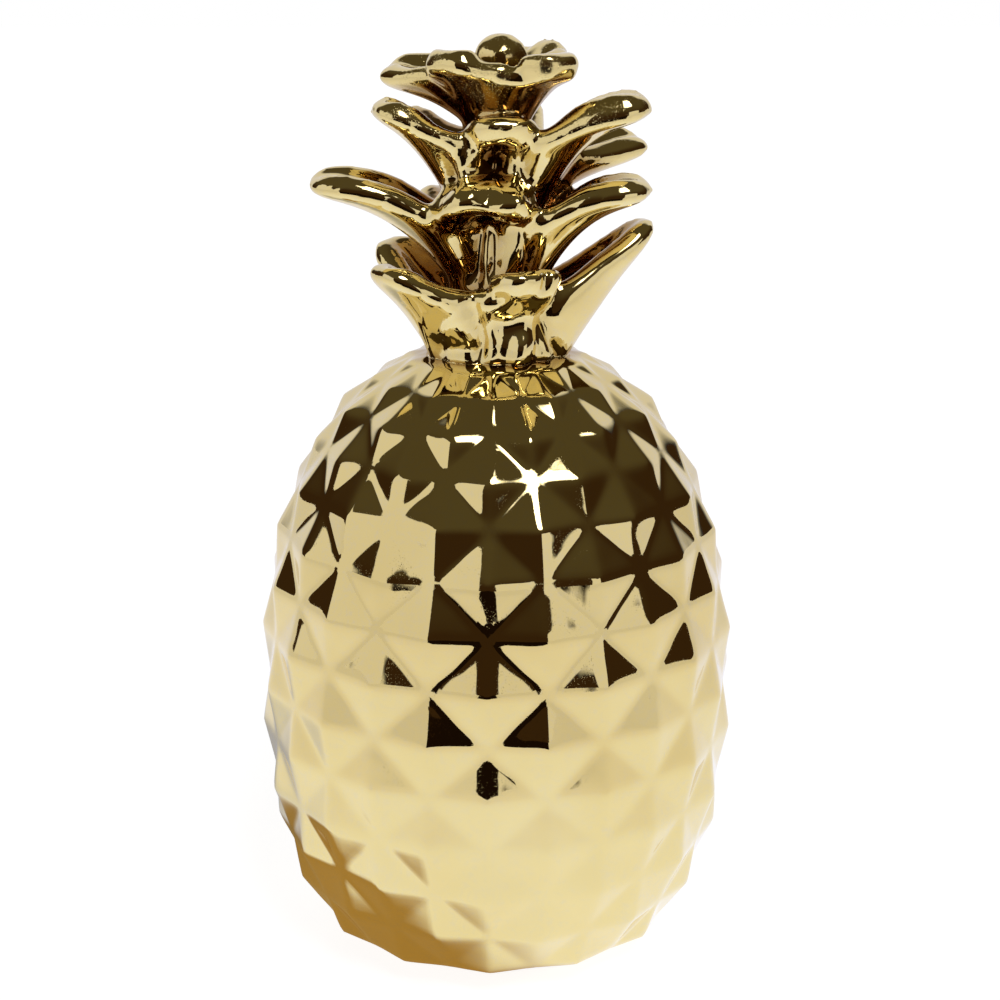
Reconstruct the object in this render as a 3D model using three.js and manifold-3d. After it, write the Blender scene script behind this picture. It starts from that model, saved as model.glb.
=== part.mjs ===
// A cast and glazed pineapple ornament, standing upright: a fruit covered in diamond pyramids, a short
// neck, and a crown of thick leaves in four tiers with a round bud on top. It is one casting, so it is
// one closed solid. Millimetres, +Z up, -Y is the front, origin in the middle of the foot.
import * as THREE from "three";
import Module from "manifold-3d";
import { mergeVertices } from "three/addons/utils/BufferGeometryUtils.js";

// Fruit
const FRUIT_RADIUS = 60.8; // at the corners between the diamonds, at the widest height
const BELLY_HEIGHT = 68; // height of the widest place above the foot
const SHOULDER_RISE = 95.8; // from the belly to where the profile would close at the top
const UNDER_DROP = 86; // from the belly to where the profile would close at the bottom
const PROFILE_POWER = 2.5;
const FOOT_RADIUS = 33;

// Diamonds
const DIAMONDS_AROUND = 13;
const FIRST_COLUMN_TURN = -2.1; // of the first column of corners from the front, in degrees
const MIDDLE_RING_RISE = 33.4; // of the middle ring of corners above the belly
const RINGS_ABOVE = 6; // rings of corners above the middle one
const RINGS_BELOW = 7; // rings of corners below it
const RING_STEP = 13.8; // between two rings below the middle one, along the profile
const SHOULDER_RING_STEP = 13.5; // the same above it, at full radius, closer toward the neck
const RELIEF = 2.2; // a pyramid's height over its corners
const FULL_RELIEF_RADIUS = 30; // toward the neck the relief fades below this radius

// Neck
const NECK_RADIUS = 17.5;
const CREASE_RISE = 0.9; // from the top ring of corners to the crease between fruit and neck
const NECK_SINK = 9; // how far the stalk reaches down into the fruit

// Crown. Below this line its lengths are hundredths of its height, apart from the leaves' thickness.
const CROWN_HEIGHT = 80.4; // from the crease to the top of the bud
const LEAF_THICKNESS = 6.4; // along the middle of the trough
const BUD_RADIUS = 7.8;
const STALK_SIDES = 26;
const BUD_STEPS = 6;

// Leaves
const LEAF_ROWS = 10;
const CAP_CORNERS = 4; // corners round each rim of a leaf's section
const SIDE_CORNERS = 2; // corners between the rims on each side of it
const LAST_ROW = 0.495 * Math.PI; // rows crowd toward the tip as a sine does, and stop just before it
const RIM_THICKENING = 0.3; // how much plumper the rim is than the middle, as a share
const RIM_START = [0.45, 0.95]; // places across, from the middle to the edge, where that sets in
const RIM_SHARE = 0.35; // of a leaf's half width, taken by the round of its rim
const TROUGH_DEPTH = 13.1; // of the hollow along a leaf, before it runs out into the tip
const TROUGH_EASE = [0.3, 0.9]; // shares of the leaf's length between which its lip takes over
const TIP_ROUNDING = 6; // the higher, the blunter the tip's outline
const TIP_TAPER = [7, 0.45]; // powers that thin the wall toward the tip's end
const LEAF_PARTING = 17.4; // length over which a leaf turns from a piece of the cup into a trough
const CUP_HOLD = [0.8, 0.5]; // it starts at a share of the cup's height, or of the leaf's if that is less
const CUP_END = 0.95; // and has ended at this share of the leaf
const CUP_LAP = 5; // how far a leaf laps over its neighbours in the cup, in degrees
const CUP_GROOVE = 5; // depth of the groove between two leaves of a cup
const GROOVE_POWER = 8; // the higher, the narrower the groove

// The stalk inside the tiers, from the neck up, as [radius, rise over the crease].
const STALK_OUTLINE = [
  [19.3, 0.5],
  [18, 8],
  [15.3, 17.9],
  [15.3, 30.3],
  [14.3, 41.5],
  [14.3, 54],
  [11.8, 62.7],
  [8.2, 71.4],
  [8.2, 76.4],
  [6.8, 86.1],
];

// Each tier is a cup whose rim runs out into leaves. Its wall starts at its root's radius and rise over
// the crease, and between two leaves it ends at its rim's, both to the middle of the wall. A leaf's turn
// is in degrees from the front, reach its tip's distance from the axis, top its tip's rise, and knee the
// point that bends its middle line, as shares of the way out and up from root to tip. Width is half of its
// widest place, lip the depth of the trough toward its tip, where a lip under 0 droops at the sides, seat
// how far over the tier's root it starts, and roll, in degrees, how much it leans over to one side.
const TIERS = [
  {
    root: [18.9, -0.1],
    rim: [19.5, 19.2],
    leaves: [
      { turn: -58, reach: 43.5, top: 30.2, knee: [0.3, 0.58], width: 11.8, lip: 4 },
      { turn: 24, reach: 30.5, top: 26.8, knee: [0, 0.95], width: 12.5, lip: -2 },
      { turn: 98, reach: 49.8, top: 41.2, knee: [0.46, 0.54], width: 11.2, lip: 4 },
      { turn: 168, reach: 42.3, top: 30.3, knee: [0.48, 0.58], width: 11.2, lip: 3.1 },
      { turn: -122, reach: 43, top: 32.3, knee: [0.48, 0.58], width: 10.6, lip: 3.1 },
    ],
  },
  {
    root: [12, 25.4],
    rim: [13.4, 41],
    leaves: [
      { turn: -80, reach: 59.1, top: 54.4, knee: [0.41, 0.93], width: 11.8, lip: 5, roll: -6 },
      { turn: -12, reach: 28.5, top: 52.2, knee: [-0.15, 1.4], width: 16.4, lip: -9, seat: 12, roll: 4 },
      { turn: 72, reach: 49.8, top: 52.1, knee: [0.42, 0.87], width: 11.2, lip: 4, roll: 4 },
      { turn: 144, reach: 38.6, top: 46.5, knee: [0.44, 0.82], width: 10.6, lip: 5 },
      { turn: -148, reach: 38.6, top: 46.5, knee: [0.44, 0.82], width: 10.6, lip: 5 },
    ],
  },
  {
    root: [12, 51.5],
    rim: [15, 68.5],
    leaves: [
      { turn: -68, reach: 40.4, top: 78.4, knee: [0.44, 0.84], width: 10, lip: 3, roll: -4 },
      { turn: 6, reach: 23.6, top: 73, knee: [0.05, 0.9], width: 12.6, lip: -1, seat: 6 },
      { turn: 67, reach: 51, top: 78.9, knee: [0.42, 0.86], width: 10.6, lip: 4, roll: 4 },
      { turn: 114, reach: 52, top: 63.5, knee: [0.45, 0.83], width: 10, lip: 5, roll: 4 },
      { turn: 170, reach: 42.3, top: 76.4, knee: [0.44, 0.8], width: 10, lip: 2.5 },
      { turn: -126, reach: 39.8, top: 73, knee: [0.44, 0.8], width: 10, lip: 2.5 },
    ],
  },
  {
    root: [5.6, 73.3],
    rim: [15, 90],
    leaves: [
      { turn: -40, reach: 26.7, top: 93.4, knee: [0.3, 0.75], width: 11.8, lip: 1.2 },
      { turn: 44, reach: 31.1, top: 92.2, knee: [0.35, 0.75], width: 11.8, lip: 1.2 },
      { turn: 140, reach: 29.9, top: 94.5, knee: [0.45, 0.77], width: 7.5, lip: 2.5 },
      { turn: -112, reach: 38.6, top: 86, knee: [0.43, 0.9], width: 10, lip: 5, roll: -4 },
    ],
  },
];

const GOLD_COLOUR = 0xd8b25a;

const wasm = await Module();
wasm.setup();

const radians = THREE.MathUtils.degToRad;
const lerp = THREE.MathUtils.lerp;
const smoothstep = THREE.MathUtils.smoothstep;
const crownUnit = CROWN_HEIGHT / 100;

// A point at a turn from the front, a distance from the axis and a height.
function around(turn, radius, height) {
  return new THREE.Vector3(radius * Math.sin(turn), -radius * Math.cos(turn), height);
}

// Closes rows of points into a body: each row is a closed loop, and both ends are closed by a fan. A
// four-sided face is split from its lower left to its upper right corner, or the other way where
// splitLeft says so.
function skin(rows, splitLeft = () => false) {
  const points = rows.flat();
  const sides = rows[0].length;
  const faces = [];
  for (let row = 0; row + 1 < rows.length; row += 1) {
    for (let side = 0; side < sides; side += 1) {
      const a = row * sides + side;
      const b = row * sides + ((side + 1) % sides);
      const c = b + sides;
      const d = a + sides;
      if (splitLeft(row, side)) {
        faces.push(a, b, d, b, c, d);
      } else {
        faces.push(a, b, c, a, c, d);
      }
    }
  }
  const closeEnd = (row, flip) => {
    const middle = new THREE.Vector3();
    rows[row].forEach((point) => middle.add(point));
    points.push(middle.divideScalar(sides));
    for (let side = 0; side < sides; side += 1) {
      const a = row * sides + side;
      const b = row * sides + ((side + 1) % sides);
      faces.push(points.length - 1, ...(flip ? [b, a] : [a, b]));
    }
  };
  closeEnd(0, true);
  closeEnd(rows.length - 1, false);
  const geometry = new THREE.BufferGeometry().setFromPoints(points);
  geometry.setIndex(faces);
  return geometry;
}

function solid(geometry) {
  geometry.deleteAttribute("normal");
  geometry.deleteAttribute("uv");
  const merged = mergeVertices(geometry, 1e-4);
  const vertProperties = new Float32Array(merged.attributes.position.array);
  const triVerts = new Uint32Array(merged.index.array);
  return new wasm.Manifold(new wasm.Mesh({ numProp: 3, vertProperties, triVerts }));
}

// Radius of the fruit at a height, at the corners between the diamonds.
function fruitRadius(height) {
  const reach = height > BELLY_HEIGHT ? SHOULDER_RISE : UNDER_DROP;
  const share = Math.abs(height - BELLY_HEIGHT) / reach;
  return FRUIT_RADIUS * Math.sqrt(Math.max(0, 1 - share ** PROFILE_POWER));
}

// Walks along the profile from a height, by a length, upward or downward.
function walkProfile(height, length, way) {
  const stride = 0.1;
  let walked = 0;
  let here = height;
  while (walked < length) {
    const next = here + way * stride;
    walked += Math.hypot(stride, fruitRadius(next) - fruitRadius(here));
    here = next;
  }
  return here;
}

// Heights of the rings of corners, from the foot up. Rings draw closer as the shoulder narrows.
function ringHeights() {
  const heights = [BELLY_HEIGHT + MIDDLE_RING_RISE];
  for (let ring = 0; ring < RINGS_ABOVE; ring += 1) {
    const last = heights.at(-1);
    const step = SHOULDER_RING_STEP * Math.sqrt(fruitRadius(last) / FRUIT_RADIUS);
    heights.push(walkProfile(last, step, 1));
  }
  for (let ring = 0; ring < RINGS_BELOW; ring += 1) {
    heights.unshift(walkProfile(heights[0], RING_STEP, -1));
  }
  return heights;
}

function creaseHeight() {
  return ringHeights().at(-1) + CREASE_RISE;
}

// A point of the crown in millimetres, as its distance from the axis and its height.
function crownPoint(radius, rise) {
  return new THREE.Vector2(radius * crownUnit, creaseHeight() + rise * crownUnit);
}

// The fruit. Corners and pyramid tips take turns around each ring, and change places from ring to ring.
function makeFruit() {
  const columns = 2 * DIAMONDS_AROUND;
  const isTip = (ring, column) => (ring + column + RINGS_BELOW) % 2 !== 0;
  const heights = ringHeights();
  const turnOf = (column) => radians(FIRST_COLUMN_TURN) + (column * 2 * Math.PI) / columns;
  const loop = (radiusOf, height) =>
    Array.from({ length: columns }, (_, column) => around(turnOf(column), radiusOf(column), height));
  const rows = heights.map((height, ring) => {
    const base = fruitRadius(height);
    const fade = Math.min(1, base / FULL_RELIEF_RADIUS);
    return loop((column) => base + (isTip(ring, column) ? RELIEF * fade : 0), height);
  });
  rows.unshift(loop(() => FOOT_RADIUS, 0));
  rows.push(loop(() => NECK_RADIUS, creaseHeight()));
  return solid(skin(rows, (row, side) => isTip(row - 1, side)));
}

// The neck, the stalk between the tiers and the bud on top, turned about the axis.
function makeStalk() {
  const foot = creaseHeight() - NECK_SINK;
  const outline = [new THREE.Vector2(0, foot), new THREE.Vector2(NECK_RADIUS, foot)];
  STALK_OUTLINE.forEach(([radius, rise]) => outline.push(crownPoint(radius, rise)));
  const first = -Math.acos(STALK_OUTLINE.at(-1)[0] / BUD_RADIUS);
  for (let step = 1; step <= BUD_STEPS; step += 1) {
    const angle = lerp(first, Math.PI / 2, step / BUD_STEPS);
    const rise = 100 - BUD_RADIUS + BUD_RADIUS * Math.sin(angle);
    outline.push(crownPoint(BUD_RADIUS * Math.cos(angle), rise));
  }
  outline.at(-1).x = 0;
  const lathe = new THREE.LatheGeometry(outline, STALK_SIDES);
  lathe.rotateX(Math.PI / 2);
  return solid(lathe);
}

// The line from a leaf's root to its tip, as distance from the axis and height.
function leafLine(tier, leaf) {
  const root = crownPoint(tier.root[0], tier.root[1] + (leaf.seat ?? 0));
  const tip = crownPoint(leaf.reach, leaf.top);
  const knee = new THREE.Vector2(lerp(root.x, tip.x, leaf.knee[0]), lerp(root.y, tip.y, leaf.knee[1]));
  return new THREE.QuadraticBezierCurve(root, knee, tip);
}

// The middle of a leaf's wall, at a share of its length and a place across it from -1 to 1. Near the root
// it is its sector of the tier's cup, and farther out a trough along its own bent middle line.
function leafWall(tier, leaf, share, across) {
  const turn = radians(leaf.turn);
  const roll = radians(leaf.roll ?? 0);
  const line = leafLine(tier, leaf);
  const middle = line.getPoint(share);
  const slope = line.getTangent(share);
  const length = line.v0.distanceTo(line.v2);

  const rim = crownPoint(...tier.rim);
  const cupHeight = line.v0.distanceTo(rim);
  const sector = radians((across < 0 ? leaf.sectorLeft : leaf.sectorRight) + CUP_LAP);
  const edge = line.v0.clone().lerp(rim, Math.min(1, (share * length) / cupHeight));
  const wall = middle.clone().lerp(edge, across ** 2);
  const groove = CUP_GROOVE * crownUnit * across ** GROOVE_POWER;
  const inCup = around(turn + across * sector, wall.x - groove, wall.y);

  const rounding = crownUnit * Math.sqrt(1 - Math.abs(share) ** TIP_ROUNDING);
  const sideways = across * leaf.width * rounding;
  const depth = lerp(TROUGH_DEPTH, leaf.lip, smoothstep(share, ...TROUGH_EASE)) * rounding;
  const lift = sideways * Math.sin(roll) + across ** 2 * depth;
  const inTrough = around(turn, middle.x, middle.y)
    .addScaledVector(around(turn + Math.PI / 2, 1, 0), sideways * Math.cos(roll))
    .addScaledVector(around(turn, -slope.y, slope.x), lift);

  const start = Math.min(CUP_HOLD[0] * cupHeight, CUP_HOLD[1] * length);
  const end = Math.min(start + LEAF_PARTING * crownUnit, CUP_END * length);
  return inCup.lerp(inTrough, smoothstep(share * length, start, end));
}

// The outline of a leaf's section, a strip with round rims, as places [across, over] from -1 to 1.
function leafSection() {
  const flat = 1 - RIM_SHARE;
  const half = [];
  for (let corner = 0; corner < CAP_CORNERS; corner += 1) {
    const angle = lerp(-Math.PI / 2, Math.PI / 2, corner / (CAP_CORNERS - 1));
    half.push([flat + RIM_SHARE * Math.cos(angle), Math.sin(angle)]);
  }
  for (let corner = 1; corner <= SIDE_CORNERS; corner += 1) {
    half.push([lerp(flat, -flat, corner / (SIDE_CORNERS + 1)), 1]);
  }
  return [...half, ...half.map(([across, over]) => [-across, -over])];
}

// One leaf: a closed body around its wall, with a plump rim and a round tip.
function makeLeaf(tier, leaf) {
  const wallAt = (share, across) => leafWall(tier, leaf, share, across);
  const small = 0.01; // a step for slopes, as a share
  const rows = [];
  for (let row = 0; row < LEAF_ROWS; row += 1) {
    const share = Math.sin((LAST_ROW * row) / (LEAF_ROWS - 1));
    const halfThickness = (LEAF_THICKNESS / 2) * (1 - share ** TIP_TAPER[0]) ** TIP_TAPER[1];
    const loop = leafSection().map(([across, over]) => {
      const along = wallAt(share, across).sub(wallAt(share - small, across));
      const sideways = wallAt(share, across + small).sub(wallAt(share, across - small));
      const normal = along.cross(sideways).normalize();
      const plump = 1 + RIM_THICKENING * smoothstep(Math.abs(across), ...RIM_START);
      return wallAt(share, across).addScaledVector(normal, over * plump * halfThickness);
    });
    rows.push(loop);
  }
  return solid(skin(rows));
}

// Gives each leaf of a tier half of the way to its neighbour on either side, in degrees.
function shareSectors(leaves) {
  const turns = leaves.map((leaf) => leaf.turn).sort((a, b) => a - b);
  return leaves.map((leaf) => {
    const place = turns.indexOf(leaf.turn);
    const next = turns[(place + 1) % turns.length];
    const last = turns.at(place - 1);
    const gap = (from, to) => THREE.MathUtils.euclideanModulo(to - from, 360);
    return { ...leaf, sectorRight: gap(leaf.turn, next) / 2, sectorLeft: gap(last, leaf.turn) / 2 };
  });
}

function makePineapple() {
  let body = makeFruit().add(makeStalk());
  TIERS.forEach((tier) => {
    shareSectors(tier.leaves).forEach((leaf) => {
      body = body.add(makeLeaf(tier, leaf));
    });
  });
  const shape = body.getMesh();
  const geometry = new THREE.BufferGeometry();
  geometry.setAttribute("position", new THREE.BufferAttribute(shape.vertProperties, 3));
  geometry.setIndex(new THREE.BufferAttribute(shape.triVerts, 1));
  geometry.computeVertexNormals();
  const glaze = new THREE.MeshStandardMaterial({ color: GOLD_COLOUR, metalness: 1, roughness: 0.06 });
  const mesh = new THREE.Mesh(geometry, glaze);
  mesh.name = "pineapple";
  return mesh;
}

const model = new THREE.Group();
model.add(makePineapple());

export default model;
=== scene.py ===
# Dresses the pineapple ornament: the forms of the solid, with rounded ridges and leaves that run into
# each other as under a thick glaze, in a gold lustre. Shapes are worked out in millimetres with numpy
# and turned into metres where a mesh is made. +Z is up and -Y the front. Turns are in degrees from the
# front, positive to the right.
import math

import bpy
import numpy as np
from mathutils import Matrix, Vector, noise


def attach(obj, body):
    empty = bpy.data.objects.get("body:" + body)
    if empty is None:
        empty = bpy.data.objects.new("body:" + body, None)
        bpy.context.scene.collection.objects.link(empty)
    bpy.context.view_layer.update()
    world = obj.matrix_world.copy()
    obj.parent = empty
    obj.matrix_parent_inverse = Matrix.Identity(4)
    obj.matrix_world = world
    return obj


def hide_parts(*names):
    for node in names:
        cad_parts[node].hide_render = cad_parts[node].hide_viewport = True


MM = 0.001

# Fruit
FRUIT_RADIUS = 60.8
BELLY_HEIGHT = 68.0
SHOULDER_RISE = 95.8
UNDER_DROP = 86.0
PROFILE_POWER = 2.5
FOOT_RADIUS = 33.0

# Diamonds
DIAMONDS_AROUND = 13
FIRST_COLUMN_TURN = -2.1
MIDDLE_RING_RISE = 33.4
RINGS_ABOVE = 6
RINGS_BELOW = 7
RING_STEP = 13.8
SHOULDER_RING_STEP = 13.5
RELIEF = 2.2  # how far the tips stand out
FULL_RELIEF_RADIUS = 30.0  # where the fruit is slimmer than this, they stand out less
SHOULDER_RING = 11  # the ring whose pyramids stand out a little more
SHOULDER_RELIEF = 1.1
FACET_CUTS = 10  # parts that each side of a facet is cut into
FACET_SOFTENING = 2  # rounds of smoothing over the ridges and valleys
FACET_PULL = 0.5  # how far each round moves a point toward its neighbours' middle
SHOULDER_SOFTENING = 3  # and so many more toward the neck
SHOULDER_HEIGHTS = (118, 142)  # where they set in
WALK_STRIDE = 0.1
WAVES = ((0.11, 8.0), (0.025, 3.5))  # slow swells of the fruit's skin: height and size

# Neck
NECK_RADIUS = 17.5
CREASE_RISE = 0.9
NECK_SINK = 9.0

# Crown, in hundredths of its height apart from the leaves' thickness and the folds' depths and widths
CROWN_HEIGHT = 80.4
LEAF_THICKNESS = 6.4
BUD_RADIUS = 7.8
BUD_SWELL = 0.1  # the bud is a little wider than it is high
BUD_LEAN = 1.0  # and stands this far to the right, in millimetres
BUD_SWELL_HEIGHTS = (220, 232)  # heights in millimetres over which it does both
STALK_SIDES = 72
BUD_STEPS = 14

# Leaves
LEAF_ROWS = 30
SECTION_CAP = 10  # points round each rim of a leaf's section
SECTION_SIDE = 8  # points between the rims on each side of it
RIM_SHARE = 0.35  # of a leaf's half width, taken by the round of its rim
RIM_THICKENING = 0.3  # how much thicker the rims are than the middle
RIM_START = (0.45, 0.95)  # shares of the half width between which they thicken
LAST_ROW = 0.497 * math.pi  # the rows crowd toward the tip and stop just short of it
SLOPE_STEP = 0.01  # share of the length or half width, to find which way the wall faces
TROUGH_EASE = (0.3, 0.9)  # shares of the length between which the trough passes into the lip
TIP_ROUNDING = 6  # power by which the width closes at the tip
TIP_TAPER = (13, 0.5)  # powers by which the thickness does
LEAF_PARTING = 17.4  # length over which a leaf leaves its cup
CUP_HOLD = (0.8, 0.5)  # it starts to after this share of the cup's height, or of its own length
CUP_END = 0.95  # and has left by this share of its length
CUP_LAP = 5.0  # degrees that the leaves of a cup lap over each other
CUP_GROOVE = 5.0  # depth of the grooves between them
GROOVE_POWER = 8  # and how narrow the grooves are
STALK_FOLDS = ((5, 0.035, 1.2), (8, 0.03, 3.9))  # number, height as a share of the radius, start
SEAT_INSET = 4.5  # how much nearer to the axis a leaf with a seat starts, to grow out of the stalk
# Folds pressed in, or raised where the depth is below 0, each as (depth, width, (turn, rise) from its
# foot to its head): first in the lowest cup, then under the front leaves of the third and second tiers.
FOLDS = (
    (2.6, 2.2, ((-14, 0), (-12, 8), (-20, 21))),
    (2.8, 2.0, ((58, 0), (50, 7), (46, 14), (56, 23))),
    (2.6, 9.0, ((20, 9), (22, 18))),
    (1.6, 9.0, ((-35, 2), (-35, 8))),
    (1.2, 2.6, ((4, -1), (6, 8), (2, 17))),
    (-1.2, 2.4, ((17, -1), (22, 8), (26, 17))),
    (1.4, 2.0, ((34, -1), (37, 8), (40, 17))),
    (1.3, 2.4, ((-52, -1), (-48, 7), (-36, 16))),
    (1.2, 3.0, ((-82, 0), (-84, 12))),
    (2.4, 2.2, ((132, 0), (133, 20))),
    (2.4, 2.2, ((-157, 0), (-157, 20))),
    (2.4, 2.2, ((-90, 3), (-90, 20))),
    (3.4, 3.2, ((-4, 50), (-6, 57), (-3, 65))),
    (-1.6, 2.4, ((-26, 52), (-30, 60), (-24, 65))),
    (2.0, 1.6, ((-42, 50), (-44, 64))),
    (-1.2, 1.8, ((14, 50), (18, 58), (16, 65))),
    (2.0, 1.7, ((26, 50), (28, 66))),
    (3.0, 3.6, ((-28, 24), (-26, 32), (-20, 43))),
    (-1.6, 1.5, ((-14, 26), (-13, 40))),
    (2.2, 2.4, ((-4, 26), (-2, 42))),
    (2.0, 1.5, ((30, 24), (33, 32), (28, 42))),
)
FOLD_FADE = 4.0  # rise over which a fold fades in at its foot and out at its head
FOLD_CORE = 10  # closer to the axis than this many millimetres, folds press in by less
GLAZE_VOXEL = 0.95 * MM  # size of the cells that melt the leaves into one skin
GLAZE_SOFTENING = 24  # rounds of smoothing after that
GLAZE_PULL = (0.5, 0.35)  # how far each round moves a point in, and back out

# From the crease up, each as (radius, rise).
STALK_OUTLINE = (
    (19.3, 0.5),
    (18.0, 8.0),
    (15.3, 17.9),
    (15.3, 30.3),
    (14.3, 41.5),
    (14.3, 54.0),
    (13.2, 62.7),
    (11.5, 69.0),
    (8.2, 74.5),
    (8.2, 77.0),
    (6.8, 86.1),
)

# Each tier has the (radius, rise) of its cup's root and rim, and the depth of its leaves' troughs. Each
# leaf is its turn, how far over the root it is seated, the radius and rise of its tip, the shares of the
# way there at its knee, its half width, the depth of its lip, its roll and how plump it is.
TIERS = (
    {
        "root": (18.9, -0.1),
        "rim": (19.5, 19.2),
        "trough": 13.1,
        "leaves": (
            (-58, 0, 43.5, 30.2, (0.3, 0.58), 11.8, 4.0, 0, 1.0),
            (24, 0, 30.5, 26.8, (-0.05, 1.0), 12.5, -2.0, 0, 1.15),
            (98, 0, 49.8, 41.2, (0.46, 0.54), 11.2, 4.0, 0, 1.0),
            (168, 0, 42.3, 30.3, (0.48, 0.58), 11.2, 3.1, 0, 1.0),
            (-122, 0, 43.0, 32.3, (0.48, 0.58), 10.6, 5.0, -10, 1.0),
        ),
    },
    {
        "root": (12.0, 25.4),
        "rim": (12.4, 41.0),
        "trough": 9.0,
        "leaves": (
            (-80, 0, 59.1, 54.4, (0.41, 0.93), 11.8, 5.0, -6, 1.0),
            (-12, 12, 28.5, 50.6, (-0.1, 1.5), 16.4, -11.0, 4, 1.4),
            (72, 0, 49.8, 53.4, (0.38, 0.94), 11.2, 4.0, 4, 1.1),
            (144, 0, 38.6, 46.5, (0.44, 0.82), 10.6, 5.0, 0, 1.0),
            (-148, 0, 38.6, 46.5, (0.44, 0.82), 10.6, 5.0, 0, 1.0),
        ),
    },
    {
        "root": (10.6, 47.0),
        "rim": (13.5, 66.0),
        "trough": 7.0,
        "leaves": (
            (-68, 0, 40.4, 78.4, (0.44, 0.84), 10.0, 3.0, -4, 1.0),
            (6, 0.1, 23.6, 72.4, (0.05, 1.05), 12.6, -2.5, 0, 1.2),
            (67, 0, 50.4, 78.9, (0.36, 0.98), 10.6, 2.5, 4, 1.25),
            (114, 0, 52.0, 63.5, (0.45, 0.83), 10.0, 6.0, 12, 1.0),
            (170, 0, 42.3, 76.4, (0.44, 0.8), 10.0, 2.5, 0, 1.0),
            (-126, 0, 39.8, 73.0, (0.44, 0.8), 10.0, 2.5, 0, 1.0),
        ),
    },
    {
        "root": (5.6, 73.3),
        "rim": (15.0, 90.0),
        "trough": 11.0,
        "leaves": (
            (-40, 0, 26.7, 93.4, (0.3, 0.75), 12.4, 1.2, 3, 1.15),
            (44, 0, 31.1, 92.2, (0.3, 0.8), 11.8, -1.0, 0, 1.15),
            (140, 0, 29.9, 94.5, (0.45, 0.77), 7.5, 2.5, 0, 1.0),
            (-112, 0, 38.6, 86.0, (0.43, 0.9), 10.0, 7.0, -14, 1.0),
        ),
    },
)

# Glaze, with heights and depths in metres. Patches and grains are noise of so many cells in a metre and
# so much detail, and a contrast is the part of the noise's range that is used.
GOLD_COLOURS = ((0.80, 0.645, 0.262), (0.84, 0.70, 0.315))
GOLD_PATCHES = (28.0, 3.0)
GOLD_CONTRAST = (0.3, 0.7)
# Painted shade: brown laid into the gold where ambient occlusion finds a place hemmed in, in hollows and
# under the leaves.
PAINTED_SHADE_COLOUR = (0.34, 0.19, 0.055)
PAINTED_SHADE_SAMPLES = 12
PAINTED_SHADE_REACH = 0.03  # how far round a place is looked at to find how hemmed in it is, where painted shade turns the gold brown
PAINTED_SHADE_OPENNESS = (0.3, 0.68)  # share of open sky over a place: fully brown painted shade under it, plain gold over it
LUSTRE_ROUGHNESS = (0.012, 0.035)
ROUGH_PATCHES = (60.0, 2.0)
ROUGH_CONTRAST = (0.35, 0.75)
COAT_WEIGHT = 0.3
COAT_ROUGHNESS = 0.01
FROST_HEIGHTS = (0.205, 0.232)  # between which the lustre turns dull in patches
FROST_ROUGHNESS = 0.16
DUST_PATCHES = (120.0, 4.0)
DUST_CONTRAST = (0.42, 0.62)
PIT_GRAIN = (2600.0, 2.0)
PIT_CONTRAST = (0.62, 0.8)
PIT_DEPTH = 0.00008
PIT_STRENGTH = 0.04
FROST_PITTING = 6.0  # how much stronger the pits are for the frost's roughness
RIPPLE_GRAIN = (260.0, 1.0)
RIPPLE_DEPTH = 0.0001
RIPPLE_STRENGTH = 0.1
BARE_FOOT = 0.0002  # the glaze ends this high over the foot, which is bare clay underneath
CLAY_COLOURS = ((0.62, 0.57, 0.49), (0.74, 0.70, 0.62))
CLAY_GRAIN = (400.0, 5.0)
CLAY_ROUGHNESS = 0.75

# Studio, in metres and degrees. Each bright card is (turn from, turn to, lowest, highest, softness,
# brightness), where a turn over 180 passes behind the object.
CARDS = (
    (-92, -32, -90, 37, 0.7, 1.0),
    (24, 57, -90, 20, 0.7, 1.0),
    (135, 225, -90, 50, 6, 0.95),
    (29, 37, 67, 71, 1.0, 2.4),
    (11, 35, 44, 64, 5.0, 14.0),
)
CARD_COLOUR = (0.81, 0.79, 0.84)  # of the cards' light and the table's
ROOM_COLOUR = (0.038, 0.0195, 0.008)
CEILING_COLOUR = (0.085, 0.068, 0.036)
CEILING_FROM = (12, 45)  # elevations over which the room passes into its ceiling
FLOOR_SIDE = 8.0
FLOOR_GAP = 0.0002  # the floor lies this far under the foot, so that the two don't lie in one plane
FLOOR_HOLE = 0.032  # radius that is left out under the foot, which hides it
TABLE_SEEN = 0.9  # the table's own light as the camera sees it
TABLE_REACH = (0.08, 0.8)  # distances between which its light in reflections falls
TABLE_GLOW = (0.98, 0.72)  # from the one to the other
TABLE_FRONT = 0.48  # the white table ends this far in front of the object
TABLE_SIDES = (-29, 21)  # and its dark front edge lies between these turns
EDGE_SOFTNESS = 0.7
EDGE_COLOUR = (0.02, 0.01, 0.005)
CLOTH_COLOUR = (0.35, 0.35, 0.35)
NEAR_REACH = (0.1, 0.35)  # distances over which the table's light loses its tint near the object
NEAR_COLOUR = (0.85, 0.875, 1.0)
SHADOW_PLACE = (-0.1, 0.1, 0.0)  # middle of the object's soft shadow on the table
SHADOW_SIZE = 0.13
SHADOW_LIGHT = 0.35
CONTACT_PLACE = (-0.036, 0.004, 0.0)  # middle of the darker shadow that the object stands in
CONTACT_SIZE = (0.056, 0.074)  # where it begins to end, and where it has ended
# Colours of the painted contact shadow, in reflections only: the tint of the table's light in it, and the
# table's colour under it.
CONTACT_SHADOW_COLOUR = (0.38, 0.24, 0.08)
CONTACT_SHADOW_CLOTH = (0.12, 0.08, 0.03)

# Camera
CAMERA_PLACE = (0.0, -0.53115, 0.273)
CAMERA_PITCH = 16.116
CAMERA_LENS = 75.64
CAMERA_SENSOR = 36.0
CAMERA_SHIFT = 0.00338

CROWN_UNIT = CROWN_HEIGHT / 100


def lerp(a, b, share):
    return a + (b - a) * share


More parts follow.
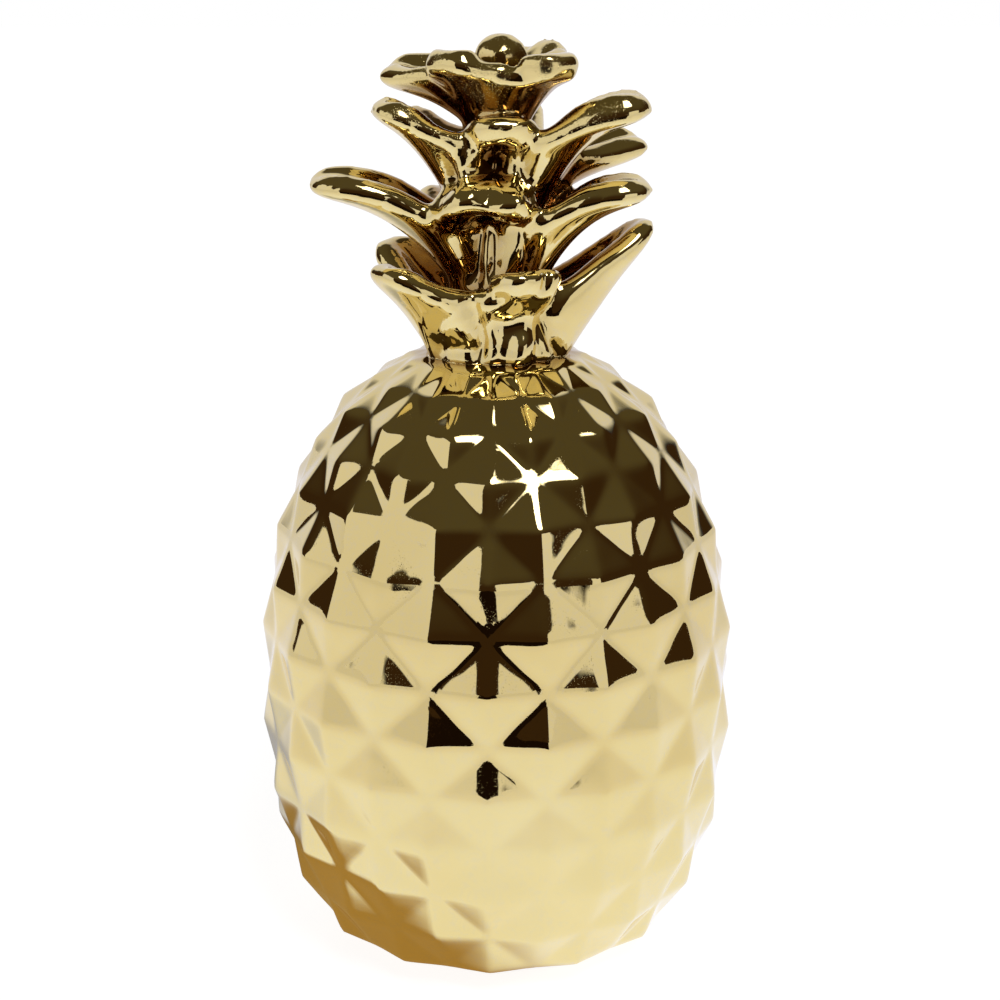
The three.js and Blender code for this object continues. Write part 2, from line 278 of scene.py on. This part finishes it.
def smoothstep(value, low, high):
    share = np.clip((value - low) / (high - low), 0, 1)
    return share * share * (3 - 2 * share)


def around(turn, radius, height):
    """Points at a turn from the front, a distance from the axis and a height."""
    return np.stack(np.broadcast_arrays(radius * np.sin(turn), -radius * np.cos(turn), height), -1)


def fruit_radius(height):
    reach = SHOULDER_RISE if height > BELLY_HEIGHT else UNDER_DROP
    share = abs(height - BELLY_HEIGHT) / reach
    return FRUIT_RADIUS * math.sqrt(max(0, 1 - share**PROFILE_POWER))


def walk_profile(height, length, way):
    """The height reached along the fruit's profile from a height, by a length, upward or downward."""
    walked = 0
    while walked < length:
        following = height + way * WALK_STRIDE
        walked += math.hypot(WALK_STRIDE, fruit_radius(following) - fruit_radius(height))
        height = following
    return height


def ring_heights():
    """The heights of the rings of corners, from the lowest to the highest."""
    heights = [BELLY_HEIGHT + MIDDLE_RING_RISE]
    for _ in range(RINGS_ABOVE):
        step = SHOULDER_RING_STEP * math.sqrt(fruit_radius(heights[-1]) / FRUIT_RADIUS)
        heights.append(walk_profile(heights[-1], step, 1))
    for _ in range(RINGS_BELOW):
        heights.insert(0, walk_profile(heights[0], RING_STEP, -1))
    return heights


CREASE_HEIGHT = ring_heights()[-1] + CREASE_RISE


def crown_point(radius, rise):
    """A place in the crown's hundredths as (radius, height) in millimetres."""
    return np.array([radius * CROWN_UNIT, CREASE_HEIGHT + rise * CROWN_UNIT])


def soften(points, links, rounds, pull, push=0.0):
    """Moves each point toward the mean of its neighbours, and back by push, so many rounds over."""
    count = np.bincount(links.ravel(), minlength=len(points))[:, None]
    for _ in range(rounds):
        for amount in (pull, -push):
            total = np.empty_like(points)
            for axis in range(3):
                total[:, axis] = np.bincount(
                    links.ravel(), weights=points[links[:, ::-1].ravel(), axis], minlength=len(points)
                )
            points = points + amount * (total / count - points)
    return points


def edges_of(faces):
    """The edges of triangles, each once, as pairs of points."""
    sides = np.concatenate([faces[:, [0, 1]], faces[:, [1, 2]], faces[:, [2, 0]]])
    return np.unique(np.sort(sides, axis=1), axis=0)


def cell_point(corners, across, up, split_left):
    """A point of a four-sided cell made of two flat triangles, at a share across and up."""
    a, b, c, d = corners
    if split_left:
        if across + up <= 1:
            return a + (b - a) * across + (d - a) * up
        return c + (d - c) * (1 - across) + (b - c) * (1 - up)
    if across >= up:
        return a + (b - a) * across + (c - b) * up
    return a + (d - a) * up + (c - d) * across


def fruit_skin():
    """The faceted fruit on a fine grid, open at both ends: (points, triangles, points in a line round)."""
    columns = 2 * DIAMONDS_AROUND
    turns = np.radians(FIRST_COLUMN_TURN) + np.arange(columns) * 2 * math.pi / columns
    heights = ring_heights()
    rows = [around(turns, FOOT_RADIUS, 0.0)]
    tips = [np.zeros(columns, bool)]
    for ring, height in enumerate(heights):
        tip = (ring + np.arange(columns) + RINGS_BELOW) % 2 != 0
        base = fruit_radius(height)
        relief = RELIEF * min(1, base / FULL_RELIEF_RADIUS)
        relief += SHOULDER_RELIEF if ring == SHOULDER_RING else 0
        rows.append(around(turns, base + tip * relief, height))
        tips.append(tip)
    rows.append(around(turns, NECK_RADIUS, CREASE_HEIGHT))
    points = []
    lefts = []
    cuts = FACET_CUTS
    for row in range(len(rows) - 1):
        for step in range(cuts if row < len(rows) - 2 else cuts + 1):
            for column in range(columns):
                beside = (column + 1) % columns
                below, above = rows[row], rows[row + 1]
                corners = (below[column], below[beside], above[beside], above[column])
                left = bool(tips[row][column]) if row else not bool(tips[1][column])
                for across in range(cuts):
                    points.append(cell_point(corners, across / cuts, step / cuts, left))
                    lefts.append(left)
    around_count = columns * cuts
    lines = len(points) // around_count
    faces = []
    for line in range(lines - 1):
        for side in range(around_count):
            a = line * around_count + side
            b = line * around_count + (side + 1) % around_count
            c, d = b + around_count, a + around_count
            faces += [(a, b, d), (b, c, d)] if lefts[a] else [(a, b, c), (a, c, d)]
    return np.array(points), np.array(faces), around_count


def close_ends(points, faces, around_count):
    """Closes both ends of a skin of lines of points, each by a fan of triangles."""
    lines = len(points) // around_count
    ends = []
    for line, flip in ((0, True), (lines - 1, False)):
        loop = line * around_count + np.arange(around_count)
        middle = points[loop].mean(0)
        points = np.vstack([points, middle])
        centre = np.full(around_count, len(points) - 1)
        following = np.roll(loop, -1)
        ends.append(np.stack([centre, following, loop] if flip else [centre, loop, following], 1))
    return points, np.vstack([faces, *ends])


def leaf_root(tier, leaf):
    """Where a leaf's middle line starts, as (radius, height)."""
    radius, rise = tier["root"]
    seat = leaf[1]
    return crown_point(radius - (SEAT_INSET if seat else 0), rise + seat)


def leaf_line(tier, leaf, share):
    """A leaf's middle line at a share of its length: its points and unit slopes in (radius, height)."""
    _, _, reach, top, bend, *_ = leaf
    root = leaf_root(tier, leaf)
    tip = crown_point(reach, top)
    knee = lerp(root, tip, np.array(bend))
    share = share[..., None]
    middle = (1 - share) ** 2 * root + 2 * share * (1 - share) * knee + share**2 * tip
    slope = (1 - share) * (knee - root) + share * (tip - knee)
    return middle, slope / np.linalg.norm(slope, axis=-1, keepdims=True)


def leaf_wall(tier, leaf, sectors, share, across):
    """The middle of a leaf's wall: near the root a piece of the tier's cup, farther out a trough."""
    turn, _, reach, top, _, width, lip, roll, _ = leaf
    turn, roll = math.radians(turn), math.radians(roll)
    middle, slope = leaf_line(tier, leaf, share)
    root = leaf_root(tier, leaf)
    rim = crown_point(*tier["rim"])
    length = np.linalg.norm(crown_point(reach, top) - root)
    cup_height = np.linalg.norm(rim - root)

    sector = np.radians(np.where(across < 0, sectors[0], sectors[1]) + CUP_LAP)
    edge = lerp(root, rim, np.clip(share * length / cup_height, None, 1)[..., None])
    wall = lerp(middle, edge, across[..., None] ** 2)
    groove = CUP_GROOVE * CROWN_UNIT * across**GROOVE_POWER
    in_cup = around(turn + across * sector, wall[..., 0] - groove, wall[..., 1])

    rounding = CROWN_UNIT * np.sqrt(1 - np.abs(share) ** TIP_ROUNDING)
    sideways = across * width * rounding
    depth = lerp(tier["trough"], lip, smoothstep(share, *TROUGH_EASE)) * rounding
    lift = sideways * math.sin(roll) + across**2 * depth
    in_trough = around(turn, middle[..., 0], middle[..., 1])
    in_trough = in_trough + around(turn + math.pi / 2, 1.0, 0.0) * (sideways * math.cos(roll))[..., None]
    in_trough = in_trough + around(turn, -slope[..., 1], slope[..., 0]) * lift[..., None]

    start = min(CUP_HOLD[0] * cup_height, CUP_HOLD[1] * length)
    end = min(start + LEAF_PARTING * CROWN_UNIT, CUP_END * length)
    return lerp(in_cup, in_trough, smoothstep(share * length, start, end)[..., None])


def leaf_section():
    """The outline of a leaf's section, a strip with round rims: (across, over), both from -1 to 1."""
    cap = np.linspace(-math.pi / 2, math.pi / 2, SECTION_CAP)
    side = np.linspace(1, -1, SECTION_SIDE + 2)[1:-1] * (1 - RIM_SHARE)
    across = np.concatenate([1 - RIM_SHARE + RIM_SHARE * np.cos(cap), side])
    over = np.concatenate([np.sin(cap), np.ones(SECTION_SIDE)])
    return np.concatenate([across, -across]), np.concatenate([over, -over])


def leaf_skin(tier, leaf, sectors):
    """A leaf as a closed body: (points, triangles)."""
    share = np.sin(LAST_ROW * np.arange(LEAF_ROWS) / (LEAF_ROWS - 1))[:, None]
    across, over = leaf_section()
    share, across = np.broadcast_arrays(share, across[None])

    def wall(s, a):
        return leaf_wall(tier, leaf, sectors, s, a)

    along = wall(share, across) - wall(share - SLOPE_STEP, across)
    sideways = wall(share, across + SLOPE_STEP) - wall(share, across - SLOPE_STEP)
    normal = np.cross(along, sideways)
    normal /= np.linalg.norm(normal, axis=-1, keepdims=True)
    plump = 1 + RIM_THICKENING * smoothstep(np.abs(across), *RIM_START)
    half = leaf[-1] * LEAF_THICKNESS / 2 * (1 - share ** TIP_TAPER[0]) ** TIP_TAPER[1] * plump
    points = wall(share, across) + normal * (over * half)[..., None]
    return tube(points)


def tube(points):
    """Closes a grid of points, rows of closed loops, into a body."""
    rows, sides = points.shape[:2]
    index = np.arange(rows * sides).reshape(rows, sides)
    a = index[:-1]
    b = np.roll(index, -1, 1)[:-1]
    c = np.roll(index, -1, 1)[1:]
    d = index[1:]
    halves = [np.stack(corners, -1).reshape(-1, 3) for corners in ((a, b, c), (a, c, d))]
    return close_ends(points.reshape(-1, 3), np.concatenate(halves), sides)


def sectors_of(leaves):
    """Half of the way from each leaf to its neighbours on either side, in degrees: (left, right)."""
    turns = sorted(leaf[0] for leaf in leaves)
    shares = []
    for leaf in leaves:
        place = turns.index(leaf[0])
        left = (leaf[0] - turns[place - 1]) % 360 / 2
        right = (turns[(place + 1) % len(turns)] - leaf[0]) % 360 / 2
        shares.append((left, right))
    return shares


def stalk_skin():
    """The stalk with the bud on top, closed: (points, triangles)."""
    foot = CREASE_HEIGHT - NECK_SINK
    outline = [np.array([NECK_RADIUS, foot])]
    outline += [crown_point(*place) for place in STALK_OUTLINE]
    first = -math.acos(STALK_OUTLINE[-1][0] / BUD_RADIUS)
    for step in range(1, BUD_STEPS):
        angle = lerp(first, math.pi / 2, step / BUD_STEPS)
        outline.append(
            crown_point(BUD_RADIUS * math.cos(angle), 100 - BUD_RADIUS + BUD_RADIUS * math.sin(angle))
        )
    turns = np.arange(STALK_SIDES) * 2 * math.pi / STALK_SIDES
    folds = 1 + sum(height * np.sin(number * turns + start) for number, height, start in STALK_FOLDS)
    points = np.stack([around(turns, radius * folds, height) for radius, height in outline])
    swell = smoothstep(points[..., 2], *BUD_SWELL_HEIGHTS)[..., None]
    points = points * (1 + swell * np.array([BUD_SWELL, BUD_SWELL, 0])) + swell * np.array([BUD_LEAN, 0, 0])
    points, faces = tube(points)
    points[-1, 2] = CREASE_HEIGHT + CROWN_HEIGHT
    return points, faces


def new_object(name, points, faces):
    mesh = bpy.data.meshes.new(name)
    mesh.from_pydata((points * MM).tolist(), [], faces.tolist())
    mesh.update()
    obj = bpy.data.objects.new(name, mesh)
    bpy.context.scene.collection.objects.link(obj)
    return obj


def joined(parts):
    """Several (points, triangles) as one."""
    points, faces, start = [], [], 0
    for part_points, part_faces in parts:
        points.append(part_points)
        faces.append(part_faces + start)
        start += len(part_points)
    return np.vstack(points), np.vstack(faces)


def baked(obj):
    """The object's mesh with its modifiers applied: (points in millimetres, triangles)."""
    evaluated = obj.evaluated_get(bpy.context.evaluated_depsgraph_get())
    mesh = bpy.data.meshes.new_from_object(evaluated)
    mesh.calc_loop_triangles()
    points = np.empty(len(mesh.vertices) * 3)
    mesh.vertices.foreach_get("co", points)
    faces = np.empty(len(mesh.loop_triangles) * 3, np.int32)
    mesh.loop_triangles.foreach_get("vertices", faces)
    bpy.data.meshes.remove(mesh)
    return points.reshape(-1, 3) / MM, faces.reshape(-1, 3)


def crown_skin():
    """Stalk, bud and leaves melted into one skin."""
    parts = [stalk_skin()]
    for tier in TIERS:
        for leaf, sectors in zip(tier["leaves"], sectors_of(tier["leaves"])):
            parts.append(leaf_skin(tier, leaf, sectors))
    rough = new_object("crown_rough", *joined(parts))
    melt = rough.modifiers.new("melt", "REMESH")
    melt.mode = "VOXEL"
    melt.voxel_size = GLAZE_VOXEL
    melt.adaptivity = 0.0
    points, faces = baked(rough)
    bpy.data.objects.remove(rough)
    points = soften(points, edges_of(faces), GLAZE_SOFTENING, *GLAZE_PULL)
    return press_folds(points), faces


def press_folds(points):
    """Presses the folds into the cups, toward the axis."""
    turn = np.degrees(np.arctan2(points[:, 0], -points[:, 1]))
    radius = np.hypot(points[:, 0], points[:, 1])
    rise = (points[:, 2] - CREASE_HEIGHT) / CROWN_UNIT
    push = np.zeros(len(points))
    for depth, width, path in FOLDS:
        turns, rises = np.array(path, float).T
        away = (turn - np.interp(rise, rises, turns) + 180) % 360 - 180
        weight = smoothstep(rise, rises[0] - FOLD_FADE, rises[0] + FOLD_FADE)
        weight = weight * (1 - smoothstep(rise, rises[-1] - FOLD_FADE, rises[-1] + FOLD_FADE))
        push -= depth * weight * np.exp(-((np.radians(away) * radius / width) ** 2))
    scale = 1 + push / np.maximum(radius, FOLD_CORE)
    return points * np.stack([scale, scale, np.ones_like(scale)], 1)


def waviness(points, height, size):
    """A slow random swell of the surface, outward from the axis."""
    swell = np.array([noise.noise(Vector(point / size)) for point in points]) * height
    outward = points * (1, 1, 0)
    outward /= np.maximum(np.linalg.norm(outward, axis=1, keepdims=True), 1e-6)
    return points + outward * swell[:, None]


def soft_fruit_skin():
    """The fruit with softened ridges and a slightly wavy skin, closed: (points, triangles)."""
    points, faces, around_count = fruit_skin()
    fixed = np.zeros((len(points), 1), bool)
    fixed[:around_count] = True
    fixed[-around_count:] = True
    smooth = soften(points, edges_of(faces), FACET_SOFTENING, FACET_PULL)
    melted = soften(smooth, edges_of(faces), SHOULDER_SOFTENING, FACET_PULL)
    smooth = lerp(smooth, melted, smoothstep(points[:, 2], *SHOULDER_HEIGHTS)[:, None])
    points = np.where(fixed, points, smooth)
    for height, size in WAVES:
        points = np.where(fixed, points, waviness(points, height, size))
    return close_ends(points, faces, around_count)


def make_pineapple():
    """The fruit and the crown, joined into one mesh."""
    fruit = new_object("fruit", *soft_fruit_skin())
    crown = new_object("crown", *crown_skin())
    join = fruit.modifiers.new("join", "BOOLEAN")
    join.operation = "UNION"
    join.solver = "MANIFOLD"
    join.object = crown
    points, faces = baked(fruit)
    bpy.data.objects.remove(fruit)
    bpy.data.objects.remove(crown)
    piece = new_object("pineapple_dressed", points, faces)
    piece.data.polygons.foreach_set("use_smooth", np.ones(len(faces), bool))
    return piece


def add_node(tree, kind, inputs=None, **settings):
    """Adds a node with its settings and inputs, where an input is a value or another node's socket."""
    node = tree.nodes.new(kind)
    for name, value in settings.items():
        setattr(node, name, value)
    for name, value in (inputs or {}).items():
        if isinstance(value, bpy.types.NodeSocket):
            tree.links.new(value, node.inputs[name])
        else:
            node.inputs[name].default_value = value
    return node


def math_node(tree, operation, *values):
    return add_node(tree, "ShaderNodeMath", dict(enumerate(values)), operation=operation).outputs[0]


def noise_node(tree, place, scale, detail):
    inputs = {"Vector": place, "Scale": scale, "Detail": detail}
    return add_node(tree, "ShaderNodeTexNoise", inputs).outputs["Fac"]


def range_node(tree, value, low, high, start=0.0, end=1.0, kind="LINEAR"):
    """Goes from start to end as a value goes from low to high."""
    inputs = {"Value": value, "From Min": low, "From Max": high, "To Min": start, "To Max": end}
    return add_node(tree, "ShaderNodeMapRange", inputs, interpolation_type=kind).outputs["Result"]


def mix_colour(tree, share, first, second, blend="MIX"):
    """Goes from the first colour to the second, each three numbers or a socket."""
    inputs = {"Factor": share}
    for socket, colour in ((6, first), (7, second)):
        inputs[socket] = (*colour, 1) if isinstance(colour, tuple) else colour
    return add_node(tree, "ShaderNodeMix", inputs, data_type="RGBA", blend_type=blend).outputs[2]


def window(tree, value, low, high, soft):
    """1 where the value lies between low and high, falling to 0 over soft on either side."""
    rise = range_node(tree, value, low - soft, low + soft, kind="SMOOTHSTEP")
    fall = range_node(tree, value, high - soft, high + soft, 1.0, 0.0, "SMOOTHSTEP")
    return math_node(tree, "MULTIPLY", rise, fall)


def turn_of(tree, parts):
    """The turn of a place or direction from the front, in degrees, positive to the right."""
    ahead = math_node(tree, "MULTIPLY", parts["Y"], -1.0)
    return math_node(tree, "DEGREES", math_node(tree, "ARCTAN2", parts["X"], ahead))


def surface_colour(tree, place, glazed):
    """Gold of a slowly changing tone, with painted shade that turns it brown in hollows and under
    overhangs, and clay where there is no glaze.
    """
    tone = range_node(tree, noise_node(tree, place, *GOLD_PATCHES), *GOLD_CONTRAST)
    gold = mix_colour(tree, tone, *GOLD_COLOURS)
    # Painted shade: the gold turns brown where ambient occlusion finds little open sky.
    inputs = {"Distance": PAINTED_SHADE_REACH}
    sky = add_node(tree, "ShaderNodeAmbientOcclusion", inputs, samples=PAINTED_SHADE_SAMPLES, only_local=True)
    unshaded_share = range_node(tree, sky.outputs["AO"], *PAINTED_SHADE_OPENNESS, kind="SMOOTHSTEP")
    lustre = mix_colour(tree, unshaded_share, PAINTED_SHADE_COLOUR, gold)
    clay = mix_colour(tree, noise_node(tree, place, *CLAY_GRAIN), *CLAY_COLOURS)
    return mix_colour(tree, glazed, clay, lustre)


def frost_amount(tree, place, height):
    """Extra roughness in patches toward the top of the crown."""
    frost = range_node(tree, height, *FROST_HEIGHTS, kind="SMOOTHSTEP")
    patches = noise_node(tree, place, *DUST_PATCHES)
    dust = range_node(tree, patches, *DUST_CONTRAST, 0.0, FROST_ROUGHNESS)
    return math_node(tree, "MULTIPLY", frost, dust)


def surface_roughness(tree, place, frosted, glazed):
    patches = noise_node(tree, place, *ROUGH_PATCHES)
    lustre = range_node(tree, patches, *ROUGH_CONTRAST, *LUSTRE_ROUGHNESS)
    unglazed = math_node(tree, "SUBTRACT", 1.0, glazed)
    clay = math_node(tree, "MULTIPLY", unglazed, CLAY_ROUGHNESS)
    return math_node(tree, "ADD", math_node(tree, "ADD", lustre, frosted), clay)


def surface_bump(tree, place, frosted):
    """Fine pits, deeper in the frost, and a slow ripple over them."""
    pits = range_node(tree, noise_node(tree, place, *PIT_GRAIN), *PIT_CONTRAST)
    strength = math_node(tree, "ADD", PIT_STRENGTH, math_node(tree, "MULTIPLY", frosted, FROST_PITTING))
    inputs = {"Height": pits, "Strength": strength, "Distance": PIT_DEPTH}
    pitted = add_node(tree, "ShaderNodeBump", inputs).outputs[0]
    ripple = noise_node(tree, place, *RIPPLE_GRAIN)
    inputs = {"Height": ripple, "Strength": RIPPLE_STRENGTH, "Distance": RIPPLE_DEPTH, "Normal": pitted}
    return add_node(tree, "ShaderNodeBump", inputs).outputs[0]


def gold_lustre():
    """The glaze, with a bare foot."""
    material = bpy.data.materials.new("gold_lustre_glaze")
    material.use_nodes = True
    tree = material.node_tree
    shader = tree.nodes["Principled BSDF"]
    place = add_node(tree, "ShaderNodeTexCoord").outputs["Object"]
    height = add_node(tree, "ShaderNodeSeparateXYZ", {"Vector": place}).outputs["Z"]
    glazed = math_node(tree, "GREATER_THAN", height, BARE_FOOT)
    frosted = frost_amount(tree, place, height)
    tree.links.new(surface_colour(tree, place, glazed), shader.inputs["Base Color"])
    tree.links.new(glazed, shader.inputs["Metallic"])
    tree.links.new(math_node(tree, "MULTIPLY", glazed, COAT_WEIGHT), shader.inputs["Coat Weight"])
    shader.inputs["Coat Roughness"].default_value = COAT_ROUGHNESS
    tree.links.new(surface_roughness(tree, place, frosted, glazed), shader.inputs["Roughness"])
    tree.links.new(surface_bump(tree, place, frosted), shader.inputs["Normal"])
    return material


def distance_node(tree, place, middle):
    inputs = {0: place, 1: middle}
    return add_node(tree, "ShaderNodeVectorMath", inputs, operation="DISTANCE").outputs["Value"]


def table_cloth():
    """A white table for the camera. In reflections it has a dark front edge and the object's shadows."""
    material = bpy.data.materials.new("floor")
    material.use_nodes = True
    tree = material.node_tree
    shader = tree.nodes["Principled BSDF"]
    shader.inputs["Roughness"].default_value = 1.0
    shader.inputs["Specular IOR Level"].default_value = 0.0
    place = add_node(tree, "ShaderNodeTexCoord").outputs["Object"]
    parts = add_node(tree, "ShaderNodeSeparateXYZ", {"Vector": place}).outputs
    distance = distance_node(tree, place, (0, 0, 0))
    seen = add_node(tree, "ShaderNodeLightPath").outputs["Is Camera Ray"]
    reflected = math_node(tree, "SUBTRACT", 1.0, seen)

    ahead = math_node(tree, "MULTIPLY", parts["Y"], -1.0)
    off_table = math_node(tree, "GREATER_THAN", ahead, TABLE_FRONT)
    in_front = window(tree, turn_of(tree, parts), *TABLE_SIDES, EDGE_SOFTNESS)
    dark = math_node(tree, "MULTIPLY", in_front, off_table)
    # Painted contact shadow, seen only in reflections: darker cloth and a browner tint of the table's light
    # round the foot.
    from_contact = distance_node(tree, place, CONTACT_PLACE)
    contact_shadow = range_node(tree, from_contact, *CONTACT_SIZE, 1.0, 0.0, "SMOOTHSTEP")
    cloth = mix_colour(tree, math_node(tree, "MULTIPLY", dark, reflected), CLOTH_COLOUR, EDGE_COLOUR)
    cloth = mix_colour(tree, math_node(tree, "MULTIPLY", contact_shadow, reflected), cloth, CONTACT_SHADOW_CLOTH)
    tree.links.new(cloth, shader.inputs["Base Color"])

    nearness = range_node(tree, distance, *NEAR_REACH, 1.0, 0.0, "SMOOTHSTEP")
    tint = mix_colour(tree, nearness, CARD_COLOUR, NEAR_COLOUR)
    tint = mix_colour(tree, contact_shadow, tint, CONTACT_SHADOW_COLOUR)
    tint = mix_colour(tree, seen, tint, (1, 1, 1))
    tree.links.new(tint, shader.inputs["Emission Color"])

    falloff = range_node(tree, distance, *TABLE_REACH, *TABLE_GLOW)
    from_shadow = distance_node(tree, place, SHADOW_PLACE)
    shadow = range_node(tree, from_shadow, 0.0, SHADOW_SIZE, SHADOW_LIGHT, 1.0, "SMOOTHSTEP")
    glow = math_node(tree, "MULTIPLY", falloff, math_node(tree, "SUBTRACT", 1.0, dark))
    glow = math_node(tree, "MULTIPLY", glow, shadow)
    glow = add_node(tree, "ShaderNodeMix", {"Factor": seen, 2: glow, 3: TABLE_SEEN}, data_type="FLOAT")
    tree.links.new(glow.outputs[0], shader.inputs["Emission Strength"])

    from_below = add_node(tree, "ShaderNodeNewGeometry").outputs["Backfacing"]
    open_here = math_node(tree, "MAXIMUM", from_below, math_node(tree, "LESS_THAN", distance, FLOOR_HOLE))
    nothing = add_node(tree, "ShaderNodeBsdfTransparent").outputs[0]
    surface = add_node(tree, "ShaderNodeMixShader", {0: open_here, 1: shader.outputs[0], 2: nothing})
    tree.links.new(surface.outputs[0], tree.nodes["Material Output"].inputs["Surface"])
    return material


def make_floor():
    side = FLOOR_SIDE / 2
    corners = [(-side, -side, 0), (side, -side, 0), (side, side, 0), (-side, side, 0)]
    mesh = bpy.data.meshes.new("floor")
    mesh.from_pydata(corners, [], [(0, 1, 2, 3)])
    mesh.materials.append(table_cloth())
    floor = bpy.data.objects.new("floor", mesh)
    floor.location.z = -FLOOR_GAP
    bpy.context.scene.collection.objects.link(floor)


def studio_light(tree, parts):
    """The dim room and the cards in it, by the direction that is looked in."""
    turn = turn_of(tree, parts)
    on_left = math_node(tree, "LESS_THAN", turn, 0.0)
    behind = math_node(tree, "ADD", turn, math_node(tree, "MULTIPLY", on_left, 360.0))
    rise = math_node(tree, "DEGREES", math_node(tree, "ARCSINE", parts["Z"]))
    ceiling = range_node(tree, rise, *CEILING_FROM, kind="SMOOTHSTEP")
    room = mix_colour(tree, ceiling, ROOM_COLOUR, CEILING_COLOUR)
    light = 0.0
    for left, right, low, high, soft, brightness in CARDS:
        across = window(tree, behind if right > 180 else turn, left, right, soft)
        card = math_node(tree, "MULTIPLY", across, window(tree, rise, low, high, soft))
        light = math_node(tree, "MAXIMUM", light, math_node(tree, "MULTIPLY", card, brightness))
    shades = [math_node(tree, "MULTIPLY", light, part) for part in CARD_COLOUR]
    lit = add_node(tree, "ShaderNodeCombineColor", dict(enumerate(shades))).outputs[0]
    return mix_colour(tree, 1.0, room, lit, "LIGHTEN")


def make_world():
    world = bpy.data.worlds.new("studio")
    bpy.context.scene.world = world
    world.use_nodes = True
    tree = world.node_tree
    tree.nodes.clear()
    direction = add_node(tree, "ShaderNodeTexCoord").outputs["Generated"]
    parts = add_node(tree, "ShaderNodeSeparateXYZ", {"Vector": direction}).outputs
    studio = add_node(tree, "ShaderNodeBackground", {"Color": studio_light(tree, parts)}).outputs[0]
    backdrop = add_node(tree, "ShaderNodeBackground", {"Color": (1, 1, 1, 1)}).outputs[0]
    seen = add_node(tree, "ShaderNodeLightPath").outputs["Is Camera Ray"]
    mix = add_node(tree, "ShaderNodeMixShader", {0: seen, 1: studio, 2: backdrop}).outputs[0]
    add_node(tree, "ShaderNodeOutputWorld", {"Surface": mix})


def make_camera():
    data = bpy.data.cameras.new("camera")
    data.lens = CAMERA_LENS
    data.sensor_width = CAMERA_SENSOR
    data.shift_x = CAMERA_SHIFT
    camera = bpy.data.objects.new("camera", data)
    camera.location = CAMERA_PLACE
    camera.rotation_euler = (math.radians(90 - CAMERA_PITCH), 0, 0)
    bpy.context.scene.collection.objects.link(camera)
    bpy.context.scene.camera = camera


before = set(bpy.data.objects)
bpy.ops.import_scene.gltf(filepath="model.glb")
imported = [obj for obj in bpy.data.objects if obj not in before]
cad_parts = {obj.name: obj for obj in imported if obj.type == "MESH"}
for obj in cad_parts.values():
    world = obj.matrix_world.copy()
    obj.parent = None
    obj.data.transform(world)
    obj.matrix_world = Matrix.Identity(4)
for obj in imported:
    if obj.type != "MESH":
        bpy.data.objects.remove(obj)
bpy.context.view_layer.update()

make_camera()
make_world()
make_floor()
pineapple = make_pineapple()
pineapple.data.materials.append(gold_lustre())
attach(pineapple, "root")
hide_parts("pineapple")
bpy.context.scene.view_settings.view_transform = "Standard"
